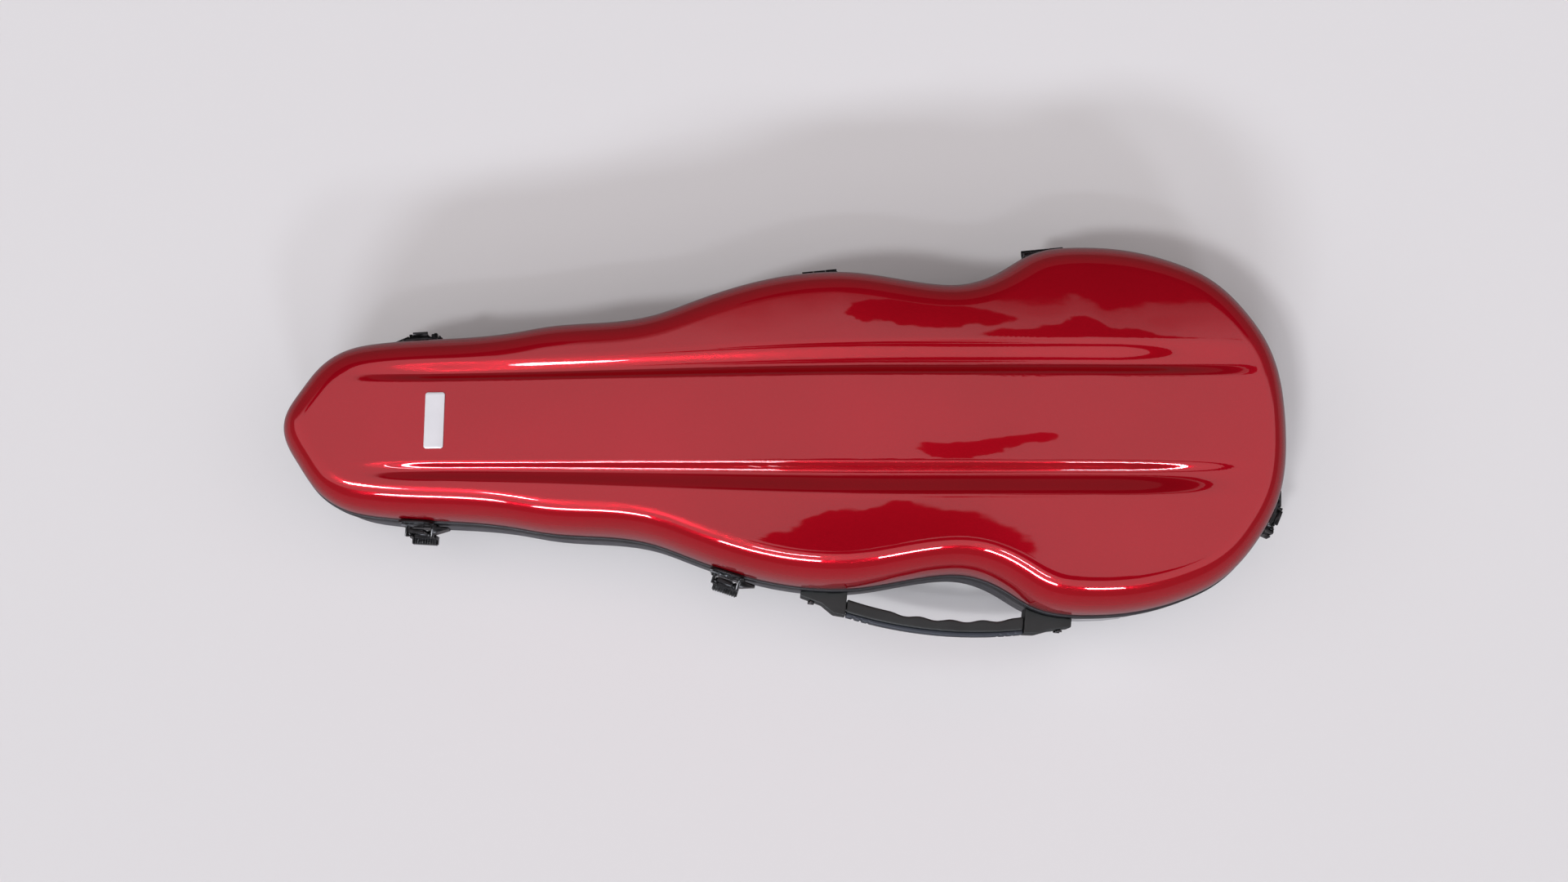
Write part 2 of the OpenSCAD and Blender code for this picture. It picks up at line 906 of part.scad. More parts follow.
module handle_band() {
    notch_pitch = 6;
    notch_width = 1.4;
    notch_depth = 1.2;
    color(satin_black)
        at_handle()
            difference() {
                translate([0, 0, -grip_height / 2 + 1.5])
                    linear_extrude(grip_height - 3)
                        polygon(concat(
                            [for (x = grip_marks) [x, grip_outer(x) - band_thickness]],
                            [for (x = reversed(grip_marks)) [x, grip_outer(x) - fine]]
                        ));
                for (side = [-1, 1])
                    for (i = [1 : 3])
                        let (x = side * (grip_half - i * notch_pitch))
                        translate([x - notch_width / 2, grip_outer(x) - band_thickness + notch_depth - 10, -20])
                            cube([notch_width, 10, 40]);
            }
}

module handle_pins() {
    color(satin_black)
        at_handle()
            handle_pin_bores(handle_pin_radius);
}

bracket_low = -11;
bracket_high = 11;

// side -1 is the bracket at the upper bout, 1 the one at the lower bout
module bracket(side, shape) {
    color(satin_black)
        difference() {
            at_handle()
                translate([side * handle_span / 2, 0, bracket_low])
                    linear_extrude(bracket_high - bracket_low)
                        polygon([for (p = shape) [side * p.x, p.y]]);
            outline_slab(-rim_lip, 0, top_z);
            at_handle()
                handle_pin_bores(handle_pin_radius + running_gap);
            at_bracket_screws(side)
                cylinder(h = 60, r = rivet_radius, center = true);
        }
}

bracket_length = 37;

// Outlines from the handle's end outward, in the handle's directions
upper_wedge = [[0, -6.5], [0, 30], [bracket_length, 30], [bracket_length, 5.5], [20, 1], [10, -5.8]];
lower_wedge = [[0, -6.5], [0, 30], [bracket_length, 30], [bracket_length, 2], [20, -2], [10, -5.8]];

module bracket_upper() {
    bracket(-1, upper_wedge);
}

module bracket_lower() {
    bracket(1, lower_wedge);
}

screw_along = bracket_length - 9;

// The screw heads sit just off the outer face of each wedge
function screw_seat(side) = side < 0 ? 2.3 : -0.8;

module at_bracket_screws(side) {
    at_handle()
        for (up = [-6, 6])
            translate([side * (handle_span / 2 + screw_along), screw_seat(side), up])
                rotate([90, 0, 0])
                    children();
}

module bracket_screws() {
    color(satin_black)
        difference() {
            for (side = [-1, 1])
                at_bracket_screws(side)
                    union() {
                        cylinder(h = 1.2, r = 2.6);
                        translate([0, 0, -30])
                            cylinder(h = 30, r = rivet_radius - fine);
                    }
            outline_slab(-rim_lip, 0, top_z);
        }
}

// ---- Bow holders in the lid ----
clip_x = 175;
clip_y = 50;
post_radius = 3;
clip_top_z = plain_roof(clip_x, clip_y + 12) - liner_drop - lid_padding - 0.3;

module bow_posts() {
    color(satin_black)
        for (side = [-1, 1])
            translate([clip_x, side * clip_y, 0])
                union() {
                    translate([0, 0, clip_top_z - 2])
                        cylinder(h = 2, r = 11);
                    translate([0, 0, clip_top_z - 10])
                        cylinder(h = 9, r = post_radius);
                    translate([0, 0, clip_top_z - 12])
                        cylinder(h = 2, r = post_radius + 2);
                }
}

module bow_clip(side) {
    clip_low = clip_top_z - 9.6;
    color(soft_black)
        translate([clip_x, side * clip_y, clip_low])
            difference() {
                union() {
                    cylinder(h = 7, r = 7);
                    translate([0, -4, 0])
                        cube([24, 8, 4]);
                    translate([20, -7, 0])
                        cube([4, 14, 7]);
                }
                translate([0, 0, -overlap])
                    cylinder(h = 10, r = post_radius + running_gap);
            }
}

module bow_clip_left() {
    bow_clip(1);
}

module bow_clip_right() {
    bow_clip(-1);
}

module bow_tip_loops() {
    loop_x = -245;
    loop_y = 22;
    loop_top = plain_roof(loop_x - 15, loop_y + 12) - liner_drop - lid_padding - 0.3;
    color(soft_black)
        for (side = [-1, 1])
            translate([loop_x - 15, side * loop_y - 12, loop_top - 16])
                difference() {
                    cube([30, 24, 16]);
                    translate([-overlap, 2, 2])
                        cube([30 + 2 * overlap, 20, 12]);
                }
}

lid_shell();
lid_rim();
lid_liner();
name_plate();
side_sticker();
keeper(latch_front_neck);  // keeper_front_neck
keeper(latch_front_body);  // keeper_front_body
keeper(latch_back_neck);  // keeper_back_neck
keeper(latch_end);  // keeper_end
keeper_rivets();
lid_leaf_upper();
lid_leaf_lower();
lid_leaf_rivets();
bow_posts();
bow_tip_loops();
bow_clip_left();
bow_clip_right();
base_shell();
base_rim();
rim_gasket();
base_liner();
cavity_pads();
neck_cradle();
neck_strap();
accessory_tray();
feet();
base_leaf_upper();
base_leaf_lower();
base_leaf_rivets();
hinge_pins();
latch_plate(latch_front_neck);  // latch_plate_front_neck
latch_plate(latch_front_body);  // latch_plate_front_body
latch_plate(latch_back_neck);  // latch_plate_back_neck
latch_plate(latch_end);  // latch_plate_end
latch_rivets();
lever_pins();
lever(latch_front_neck);  // lever_front_neck
lever(latch_front_body);  // lever_front_body
lever(latch_back_neck);  // lever_back_neck
lever(latch_end);  // lever_end
hook(latch_front_neck);  // hook_front_neck
hook(latch_front_body);  // hook_front_body
hook(latch_back_neck);  // hook_back_neck
hook(latch_end);  // hook_end
hook_pin(latch_front_neck);  // hook_pin_front_neck
hook_pin(latch_front_body);  // hook_pin_front_body
hook_pin(latch_back_neck);  // hook_pin_back_neck
hook_pin(latch_end);  // hook_pin_end
bracket_upper();
bracket_lower();
bracket_screws();
handle_grip();
handle_band();
handle_pins();
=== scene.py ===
import math

import bmesh
import bpy
import numpy as np
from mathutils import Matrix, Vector


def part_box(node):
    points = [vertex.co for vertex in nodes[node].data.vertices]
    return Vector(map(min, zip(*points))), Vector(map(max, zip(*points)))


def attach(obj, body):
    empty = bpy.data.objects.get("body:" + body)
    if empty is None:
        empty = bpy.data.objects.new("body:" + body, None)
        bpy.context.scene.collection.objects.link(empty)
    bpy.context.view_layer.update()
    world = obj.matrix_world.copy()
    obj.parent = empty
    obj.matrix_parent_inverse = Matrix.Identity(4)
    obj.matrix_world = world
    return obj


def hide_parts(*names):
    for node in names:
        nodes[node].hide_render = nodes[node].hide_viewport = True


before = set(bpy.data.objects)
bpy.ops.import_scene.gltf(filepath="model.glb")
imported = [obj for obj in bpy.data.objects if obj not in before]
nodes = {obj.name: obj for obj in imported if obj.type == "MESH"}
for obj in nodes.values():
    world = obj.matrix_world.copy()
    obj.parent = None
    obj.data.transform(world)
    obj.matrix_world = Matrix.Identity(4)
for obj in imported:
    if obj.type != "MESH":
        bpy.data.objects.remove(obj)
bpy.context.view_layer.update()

MM = 0.001
MERGE = 1e-6  # metres between points that are one point


# ---------------------------------------------------------------- camera

CAMERA_PLACE = (0.001, -0.255, 1.4)
CAMERA_TILT = 0.1851
CAMERA_LENS, CAMERA_SENSOR = 38.68, 36.0


def make_camera():
    """Almost straight above the case, leaning a little towards its front."""
    data = bpy.data.cameras.new("camera")
    data.sensor_width = CAMERA_SENSOR
    data.lens = CAMERA_LENS
    camera = bpy.data.objects.new("camera", data)
    bpy.context.scene.collection.objects.link(camera)
    camera.location = CAMERA_PLACE
    camera.rotation_euler = (CAMERA_TILT, 0.0, 0.0)
    bpy.context.scene.camera = camera


# ---------------------------------------------------------------- outline and heights

# The case's outline at the seam: [x, half width, direction in degrees], in millimetres
OUTLINE = [
    (-395, 0, 90), (-377, 37, 60), (-333, 67.5, 9), (-200, 80, 12), (-89, 95.5, 22), (40, 126.5, 1),
    (131, 115, -3), (185, 134.5, 36), (240, 147, 0), (324, 130, -23), (376, 81.5, -57), (395, 0, -90),
]
# The violin's well in the padding, in the same form
WELL = [(-36, 0, 90), (35, 88, 0), (130, 65, 0), (240, 109, 0), (330, 0, -90)]
CURVE_PULL = 0.36
CURVE_STEPS = 60
LOOP_SPACING, LOOP_SOFTNESS = 4.0, 6

LID_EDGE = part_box("lid_shell")[0].z / MM
LID_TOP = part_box("lid_shell")[1].z / MM
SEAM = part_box("lid_rim")[0].z / MM
BASE_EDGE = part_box("base_shell")[1].z / MM
BASE_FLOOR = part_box("base_shell")[0].z / MM
RIM_LIP = (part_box("lid_rim")[1].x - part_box("lid_shell")[1].x) / MM


def half_curve(places, steps):
    """Points of the back half of an outline, joined by cubic curves."""
    points = []
    for (ax, ay, aw), (bx, by, bw) in zip(places, places[1:]):
        pull = CURVE_PULL * math.hypot(bx - ax, by - ay)
        a, b = np.array([ax, ay], float), np.array([bx, by], float)
        leave = a + pull * np.array([math.cos(math.radians(aw)), math.sin(math.radians(aw))])
        arrive = b - pull * np.array([math.cos(math.radians(bw)), math.sin(math.radians(bw))])
        for t in np.linspace(0, 1, steps, endpoint=False):
            s = 1 - t
            points.append(s**3 * a + 3 * s * s * t * leave + 3 * s * t * t * arrive + t**3 * b)
    points.append(np.array([places[-1][0], 0.0]))
    return np.array(points)


def smooth_loop(places, spacing, softness):
    """A closed, even and gently smoothed loop, from the left end round by +Y."""
    half = half_curve(places, CURVE_STEPS)
    loop = np.vstack([half, half[-2:0:-1] * [1, -1]])
    closed = np.vstack([loop, loop[:1]])
    run = np.concatenate([[0], np.cumsum(np.linalg.norm(np.diff(closed, axis=0), axis=1))])
    count = 2 * int(round(run[-1] / spacing / 2))
    at = np.linspace(0, run[-1], count, endpoint=False)
    even = np.column_stack([np.interp(at, run, closed[:, k]) for k in (0, 1)])
    for _ in range(softness):
        even = (np.roll(even, 1, 0) + 2 * even + np.roll(even, -1, 0)) / 4
    return even


def loop_normals(loop):
    along = np.roll(loop, -1, 0) - np.roll(loop, 1, 0)
    along /= np.linalg.norm(along, axis=1)[:, None]
    return np.column_stack([-along[:, 1], along[:, 0]])


LOOP = smooth_loop(OUTLINE, LOOP_SPACING, LOOP_SOFTNESS)
NORMALS = loop_normals(LOOP)


def inset(distance):
    return LOOP - NORMALS * distance


def ramp(v, low, high):
    t = np.clip((v - low) / (high - low), 0, 1)
    return t * t * (3 - 2 * t)


NECK_FALL, END_FALL = 19, 6  # how far the lid's centreline falls to each end
NECK_SLOPE, END_SLOPE = (-390, 90), (215, 400)  # from where to where along X it falls
ROOF_BOW = 0.0006            # fall across the lid, per square millimetre

VALLEY_DEPTH = 6.5
VALLEY_NECK_DEPTH = 0.6      # share of that depth in the neck
# Half widths of a valley's inner edge, bottom and outer edge: in the neck, and what the body adds
VALLEY_INNER, VALLEY_BOTTOM, VALLEY_OUTER = (31.0, 2.5), (38.0, 4.0), (48.0, 14.0)
# Stretches along X over which a valley widens, deepens, starts and ends
VALLEY_WIDENS, VALLEY_DEEPENS = (-300, 100), (-250, 60)
VALLEY_STARTS, VALLEY_ENDS = (-345, -265), (250, 378)


def crown(x):
    """Height of the lid along its centreline."""
    return LID_TOP - NECK_FALL * (1 - ramp(x, *NECK_SLOPE)) - END_FALL * ramp(x, *END_SLOPE)


def plain_roof(x, y):
    return crown(x) - ROOF_BOW * y * y


def valley(x, y):
    """Depth of the two long valleys: steep beside the centre panel, gentle on the outside."""
    body = ramp(x, *VALLEY_WIDENS)
    inner, bottom, outer = (
        neck + more * body for neck, more in (VALLEY_INNER, VALLEY_BOTTOM, VALLEY_OUTER)
    )
    deep = VALLEY_NECK_DEPTH + (1 - VALLEY_NECK_DEPTH) * ramp(x, *VALLEY_DEEPENS)
    strength = deep * ramp(x, *VALLEY_STARTS) * (1 - ramp(x, *VALLEY_ENDS))
    across = np.abs(y)
    falling = np.clip((across - inner) / (bottom - inner), 0, 1)
    rising = np.clip((outer - across) / (outer - bottom), 0, 1)
    shape = np.where(across < bottom, ramp(falling, 0, 1), ramp(rising, 0, 1))
    return VALLEY_DEPTH * strength * shape


def roof(x, y):
    return plain_roof(x, y) - valley(x, y)


# ---------------------------------------------------------------- mesh helpers

def new_object(name, verts, faces, material, body):
    """A smooth-shaded mesh that rides on a body. Its points are in metres."""
    mesh = bpy.data.meshes.new(name)
    mesh.from_pydata([tuple(v) for v in verts], [], [tuple(f) for f in faces])
    mesh.validate()
    obj = bpy.data.objects.new(name, mesh)
    bpy.context.scene.collection.objects.link(obj)
    work = bmesh.new()
    work.from_mesh(mesh)
    bmesh.ops.recalc_face_normals(work, faces=work.faces)
    work.to_mesh(mesh)
    work.free()
    mesh.materials.append(material)
    for polygon in mesh.polygons:
        polygon.use_smooth = True
    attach(obj, body)
    return obj


def ring_faces(first, second, count):
    return [
        (first + k, first + (k + 1) % count, second + (k + 1) % count, second + k)
        for k in range(count)
    ]


def sweep(name, profile, material, body):
    """A closed band round the outline. The profile's points are (inset, height), in millimetres."""
    count = len(LOOP)
    verts, faces = [], []
    for distance, height in profile:
        verts += [(x * MM, y * MM, height * MM) for x, y in inset(distance)]
    for j in range(len(profile)):
        faces += ring_faces(j * count, (j + 1) % len(profile) * count, count)
    return new_object(name, verts, faces, material, body)


def rounded_profile(corners, radius, steps=4):
    """A closed profile with its corners rounded."""
    out = []
    count = len(corners)
    for i in range(count):
        before, here, after = (np.array(corners[(i + k) % count], float) for k in (-1, 0, 1))
        to_before, to_after = before - here, after - here
        reach = min(radius, 0.45 * np.linalg.norm(to_before), 0.45 * np.linalg.norm(to_after))
        a = here + to_before / np.linalg.norm(to_before) * reach
        b = here + to_after / np.linalg.norm(to_after) * reach
        for t in np.linspace(0, 1, steps + 1):
            out.append(tuple((1 - t) ** 2 * a + 2 * t * (1 - t) * here + t * t * b))
    return out


SPINE_LEFT, SPINE_RIGHT, SPINE_SPREAD = -325.0, 245.0, 0.3


def spine_x(x):
    right = SPINE_RIGHT + SPINE_SPREAD * (x - SPINE_RIGHT)
    left = SPINE_LEFT + SPINE_SPREAD * (x - SPINE_LEFT)
    return np.where(x > SPINE_RIGHT, right, np.where(x < SPINE_LEFT, left, x))


def dome_rings(edge_inset, shoulder, power, edge_z, height_of, turns, shares):
    """Rings of a domed skin, from its edge to its spine: a rounded shoulder, then the roof."""
    rings = []
    for turn in turns:
        across = 1 - math.cos(turn) ** (2 / power)
        up = math.sin(turn) ** (2 / power)
        ring = inset(edge_inset + shoulder * across)
        z = edge_z + (height_of(ring[:, 0], ring[:, 1]) - edge_z) * up
        rings.append(np.column_stack([ring, z]))
    end = inset(edge_inset + shoulder)
    spine = np.column_stack([spine_x(LOOP[:, 0]), np.zeros(len(LOOP))])
    for share in shares:
        ring = spine + share * (end - spine)
        rings.append(np.column_stack([ring, height_of(ring[:, 0], ring[:, 1])]))
    return rings


def dome(name, outer, inner, material, body):
    """A closed skin through the outer rings and back through the inner ones.

    The last ring of each lies on the spine.
    """
    rings = outer[::-1] + inner
    count = len(LOOP)
    verts = np.vstack(rings) * MM
    faces = []
    for j in range(len(rings) - 1):
        faces += ring_faces(j * count, (j + 1) * count, count)
    skin = new_object(name, verts, faces, material, body)
    work = bmesh.new()
    work.from_mesh(skin.data)
    bmesh.ops.remove_doubles(work, verts=work.verts, dist=MERGE)
    bmesh.ops.dissolve_degenerate(work, edges=work.edges, dist=1e-7)
    bmesh.ops.recalc_face_normals(work, faces=work.faces)
    work.to_mesh(skin.data)
    work.free()
    for polygon in skin.data.polygons:
        polygon.use_smooth = True
    return skin


# ---------------------------------------------------------------- material helpers

class Shader:
    """A short way to lay out a material's nodes."""

    def __init__(self, name):
        self.material = bpy.data.materials.new(name)
        self.material.use_nodes = True
        self.tree = self.material.node_tree
        self.bsdf = self.tree.nodes["Principled BSDF"]
        self.place = self.node("ShaderNodeTexCoord").outputs["Object"]

    def node(self, kind, **settings):
        made = self.tree.nodes.new(kind)
        for key, value in settings.items():
            setattr(made, key, value)
        return made

    def link(self, source, target):
        self.tree.links.new(source, target)

    def set(self, **values):
        for key, value in values.items():
            self.bsdf.inputs[key.replace("_", " ")].default_value = value

    def noise(self, scale, detail=3.0, stretch=(1, 1, 1), roughness=0.5):
        mapping = self.node("ShaderNodeMapping")
        mapping.inputs["Scale"].default_value = stretch
        self.link(self.place, mapping.inputs["Vector"])
        made = self.node("ShaderNodeTexNoise")
        made.inputs["Scale"].default_value = scale
        made.inputs["Detail"].default_value = detail
        made.inputs["Roughness"].default_value = roughness
        self.link(mapping.outputs["Vector"], made.inputs["Vector"])
        return made.outputs["Fac"]

    def cells(self, scale):
        """A random colour for each small cell."""
        made = self.node("ShaderNodeTexVoronoi")
        made.inputs["Scale"].default_value = scale
        self.link(self.place, made.inputs["Vector"])
        return made.outputs["Color"]

    def steps(self, source, stops):
        """A colour ramp with stops of (place, colour)."""
        made = self.node("ShaderNodeValToRGB")
        elements = made.color_ramp.elements
        while len(elements) < len(stops):
            elements.new(0.5)
        for element, (place, colour) in zip(elements, stops):
            element.position = place
            element.color = (*colour, 1)
        self.link(source, made.inputs["Fac"])
        return made.outputs["Color"]

    def fit(self, source, low, high, from_low=0.0, from_high=1.0):
        made = self.node("ShaderNodeMapRange")
        made.inputs["From Min"].default_value = from_low
        made.inputs["From Max"].default_value = from_high
        made.inputs["To Min"].default_value = low
        made.inputs["To Max"].default_value = high
        self.link(source, made.inputs["Value"])
        return made.outputs["Result"]

    def bump(self, source, strength, distance, target="Normal", under=None):
        made = self.node("ShaderNodeBump")
        made.inputs["Strength"].default_value = strength
        made.inputs["Distance"].default_value = distance
        self.link(source, made.inputs["Height"])
        if under is not None:
            self.link(under, made.inputs["Normal"])
        if target:
            self.link(made.outputs["Normal"], self.bsdf.inputs[target])
        return made.outputs["Normal"]


def red_lacquer():
    """Deep red metallic base with fine flakes under a thick clear coat."""
    s = Shader("red_lacquer")
    flakes = s.cells(2600)
    tone = s.noise(9, 2.0)
    mixed = s.node("ShaderNodeMix", data_type="RGBA", blend_type="MULTIPLY")
    mixed.inputs["Factor"].default_value = 0.35
    base = s.steps(tone, [(0.3, (0.44, 0.001, 0.009)), (0.7, (0.49, 0.001, 0.012))])
    grey = s.node("ShaderNodeRGBToBW")
    s.link(flakes, grey.inputs["Color"])
    spark = s.steps(grey.outputs["Val"], [(0.2, (0.75, 0.75, 0.75)), (0.9, (1.0, 1.0, 1.0))])
    s.link(base, mixed.inputs["A"])
    s.link(spark, mixed.inputs["B"])
    s.link(mixed.outputs["Result"], s.bsdf.inputs["Base Color"])
    s.set(Metallic=0.38, Roughness=0.15, Coat_Weight=1.0, Coat_Roughness=0.02, Coat_IOR=1.65)
    s.set(Specular_Tint=(0.75, 0.12, 0.14, 1), Specular_IOR_Level=0.2)
    s.bump(grey.outputs["Val"], 0.10, 0.0002)
    s.bump(s.noise(60, 1.0), 0.02, 0.001, target="Coat Normal")
    return s.material


def satin_moulding(name, colour, lighter, roughness=0.34, grain=900, coat=0.0):
    """Black moulded plastic with a fine grain and faint wear."""
    s = Shader(name)
    wear = s.noise(22, 5.0)
    s.link(s.steps(wear, [(0.35, colour), (0.75, lighter)]), s.bsdf.inputs["Base Color"])
    uneven = s.fit(s.noise(70, 4.0), roughness - 0.06, roughness + 0.08, 0.3, 0.7)
    s.link(uneven, s.bsdf.inputs["Roughness"])
    s.set(Coat_Weight=coat, Coat_Roughness=0.2)
    s.bump(s.noise(grain, 2.0), 0.12, 0.0002)
    return s.material


def coated_metal(name, colour, lighter, roughness=0.3, metallic=0.6):
    """Black coated steel, a little lighter and rougher where it is scuffed."""
    s = Shader(name)
    scuffs = s.noise(160, 6.0, roughness=0.7)
    s.link(s.steps(scuffs, [(0.45, colour), (0.8, lighter)]), s.bsdf.inputs["Base Color"])
    uneven = s.fit(scuffs, roughness - 0.08, roughness + 0.14, 0.3, 0.8)
    s.link(uneven, s.bsdf.inputs["Roughness"])
    s.set(Metallic=metallic, Coat_Weight=0.3, Coat_Roughness=0.12)
    s.bump(s.noise(700, 2.0), 0.06, 0.0002)
    return s.material


def rubber(name, colour, lighter, roughness=0.6):
    """Matte black rubber with a little dust."""
    s = Shader(name)
    dust = s.noise(45, 6.0)
    s.link(s.steps(dust, [(0.4, colour), (0.8, lighter)]), s.bsdf.inputs["Base Color"])
    s.set(Roughness=roughness, Sheen_Weight=0.15)
    s.bump(s.noise(1300, 2.0), 0.15, 0.0002)
    return s.material


def plush(name, colour, lighter):
    """Short pile: soft mottling, a fine nap and sheen."""
    s = Shader(name)
    nap = s.noise(70, 8.0, stretch=(1, 1.6, 1), roughness=0.75)
    s.link(s.steps(nap, [(0.2, colour), (0.85, lighter)]), s.bsdf.inputs["Base Color"])
    s.set(Roughness=0.95, Sheen_Weight=0.7, Sheen_Roughness=0.45, Specular_IOR_Level=0.2)
    fibres = s.bump(s.noise(1800, 3.0), 0.5, 0.0006, target=None)
    s.bump(nap, 0.35, 0.0015, under=fibres)
    return s.material


def webbing(name, colour, lighter):
    """Woven strap: two crossed sets of ribs."""
    s = Shader(name)
    ribs = []
    for direction in ("X", "Y"):
        wave = s.node("ShaderNodeTexWave", wave_type="BANDS", bands_direction=direction)
        wave.inputs["Scale"].default_value = 190
        s.link(s.place, wave.inputs["Vector"])
        ribs.append(wave.outputs["Fac"])
    weave = s.node("ShaderNodeMath", operation="MULTIPLY")
    s.link(ribs[0], weave.inputs[0])
    s.link(ribs[1], weave.inputs[1])
    woven = s.steps(weave.outputs["Value"], [(0.1, colour), (0.9, lighter)])
    s.link(woven, s.bsdf.inputs["Base Color"])
    s.set(Roughness=0.8, Sheen_Weight=0.3)
    s.bump(weave.outputs["Value"], 0.6, 0.0006)
    return s.material


def foil():
    """Pale satin foil for the two blank labels."""
    s = Shader("plate_foil")
    cloud = s.noise(30, 2.0)
    tone = s.steps(cloud, [(0.3, (0.80, 0.82, 0.83)), (0.75, (0.87, 0.88, 0.89))])
    s.link(tone, s.bsdf.inputs["Base Color"])
    s.link(s.fit(cloud, 0.28, 0.36, 0.3, 0.7), s.bsdf.inputs["Roughness"])
    s.set(Metallic=0.25, Coat_Weight=0.5, Coat_Roughness=0.08)
    s.bump(cloud, 0.03, 0.0002)
    return s.material


RED = red_lacquer()
# The base shell's black plastic colours carry a blue tint, which is a painted reflection of the pale sky.
BASE = satin_moulding(
    "base_satin_painted_sky_tint", (0.017, 0.023, 0.033), (0.025, 0.033, 0.046), roughness=0.33, grain=1400, coat=0.5
)
RIM = satin_moulding("rim_satin", (0.010, 0.010, 0.012), (0.022, 0.022, 0.026), roughness=0.38)
GRAINED = satin_moulding(
    "grained_black", (0.012, 0.015, 0.014), (0.026, 0.031, 0.030), roughness=0.46, grain=650
)
BAND = satin_moulding(
    "band_blue_black", (0.026, 0.034, 0.046), (0.045, 0.055, 0.070), roughness=0.42, grain=800
)
LATCH = coated_metal(
    "latch_black", (0.012, 0.013, 0.014), (0.045, 0.047, 0.050), roughness=0.22, metallic=0.75
)
STEEL = coated_metal("dark_steel", (0.035, 0.036, 0.038), (0.16, 0.16, 0.165), roughness=0.3, metallic=0.9)
RUBBER = rubber("soft_rubber", (0.012, 0.012, 0.012), (0.035, 0.034, 0.033))
PLUSH = plush("plush_lining", (0.026, 0.027, 0.032), (0.052, 0.054, 0.062))
PLUSH_LID = plush("plush_lid", (0.030, 0.031, 0.037), (0.058, 0.060, 0.069))
WEBBING = webbing("strap_webbing", (0.010, 0.010, 0.011), (0.050, 0.050, 0.054))
PIPING = rubber("piping_cord", (0.012, 0.012, 0.014), (0.030, 0.030, 0.034), roughness=0.5)
FOIL = foil()


# ---------------------------------------------------------------- shells and rims

WALL = 2.4                  # thickness of both shells' sides
LID_ROOF_WALL = 3           # thickness of the lid's top
LID_SHOULDER, LID_POWER = 26, 2.5
BASE_SHOULDER, BASE_POWER = 20, 5.0
LID_TURNS = [0, 0.06] + list(np.linspace(0.14, math.pi / 2, 26))
BASE_TURNS = [0, 0.0005, 0.004, 0.02, 0.06, 0.14] + list(np.linspace(0.25, 1.48, 18)) + [1.55, math.pi / 2]


def stand_for(node):
    """The piece takes the place of a CAD node, which is hidden."""
    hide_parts(node)


def lid_ceiling(x, y):
    return roof(x, y) - LID_ROOF_WALL


def make_lid():
    outer = dome_rings(0, LID_SHOULDER, LID_POWER, LID_EDGE, roof, LID_TURNS, np.linspace(0.985, 0, 64))
    inner_turns = np.linspace(0, math.pi / 2, 12)
    inner_shares = np.linspace(0.95, 0, 24)
    inner = dome_rings(WALL, LID_SHOULDER, LID_POWER, LID_EDGE, lid_ceiling, inner_turns, inner_shares)
    skin = dome("lid_skin", outer, inner, RED, "lid")
    stand_for("lid_shell")


def base_rings(edge_inset, floor):
    """Rings of the base, whose flat floor lies at the height floor."""
    return dome_rings(
        edge_inset, BASE_SHOULDER, BASE_POWER, BASE_EDGE, lambda x, y: floor + 0 * x, BASE_TURNS,
        np.linspace(0.9, 0, 8),
    )


def make_base():
    skin = dome("base_skin", base_rings(0, BASE_FLOOR), base_rings(WALL, BASE_FLOOR + WALL), BASE, "base")
    stand_for("base_shell")


SEAM_GAP = 0.4
GASKET_MIDDLE, GASKET_RADIUS, GASKET_DROP = 1.5, 0.85, 0.9
GROOVE_OUT, GROOVE_DEPTH = 0.6, 1.8  # the groove that holds the gasket
TONGUE_OUT, TONGUE_IN = 3.0, 5.0     # the tongue that stands up inside the lid's rim


def make_rims():
    """The rim on each shell, and the gasket in the groove of the lower one."""
    lid_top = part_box("lid_rim")[1].z / MM
    lid_corners = [(-RIM_LIP, SEAM), (-RIM_LIP, lid_top), (WALL, lid_top), (WALL, SEAM)]
    lid_rim = sweep("lid_rim_profile", rounded_profile(lid_corners, 0.9), RIM, "lid")
    stand_for("lid_rim")
    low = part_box("base_rim")[0].z / MM
    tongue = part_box("base_rim")[1].z / MM
    seam = SEAM - SEAM_GAP
    groove = seam - GROOVE_DEPTH
    base_corners = [
        (-RIM_LIP, low), (-RIM_LIP, seam), (GROOVE_OUT, seam), (GROOVE_OUT, groove), (WALL, groove),
        (WALL, seam), (TONGUE_OUT, seam), (TONGUE_OUT, tongue), (TONGUE_IN, tongue),
        (TONGUE_IN, BASE_EDGE), (-0.1, BASE_EDGE), (-0.1, low),
    ]
    base_rim = sweep("base_rim_profile", rounded_profile(base_corners, 0.5, steps=3), RIM, "base")
    stand_for("base_rim")
    bead = [
        (GASKET_MIDDLE + GASKET_RADIUS * math.cos(a), seam - GASKET_DROP + GASKET_RADIUS * math.sin(a))
        for a in np.linspace(0, 2 * math.pi, 10, endpoint=False)
    ]
    gasket = sweep("gasket_bead", bead, RUBBER, "base")
    stand_for("rim_gasket")


# ---------------------------------------------------------------- hardware kept from the CAD

def paint(obj, material):
    obj.data.materials.clear()
    obj.data.materials.append(material)


def add_weld(obj):
    obj.modifiers.new("weld", "WELD").merge_threshold = MERGE


def add_even_faces(obj, voxel, smoothing):
    """Even faces of about one voxel, in metres, then softened edges."""
    remesh = obj.modifiers.new("remesh", "REMESH")
    remesh.mode = "VOXEL"
    remesh.voxel_size = voxel
    remesh.use_smooth_shade = True
    smooth = obj.modifiers.new("smooth", "SMOOTH")
    smooth.factor = 0.5
    smooth.iterations = smoothing


def finish_node(name, material, bevel):
    """Keeps a CAD node: joins its split corners, rounds its edges and gives it its material."""
    node = nodes[name]
    paint(node, material)
    for polygon in node.data.polygons:
        polygon.use_smooth = True
    add_weld(node)
    rounding = node.modifiers.new("round", "BEVEL")
    rounding.width = bevel * MM
    rounding.segments = 2
    rounding.limit_method = "ANGLE"
    rounding.angle_limit = math.radians(32)
    rounding.use_clamp_overlap = True
    rounding.harden_normals = True


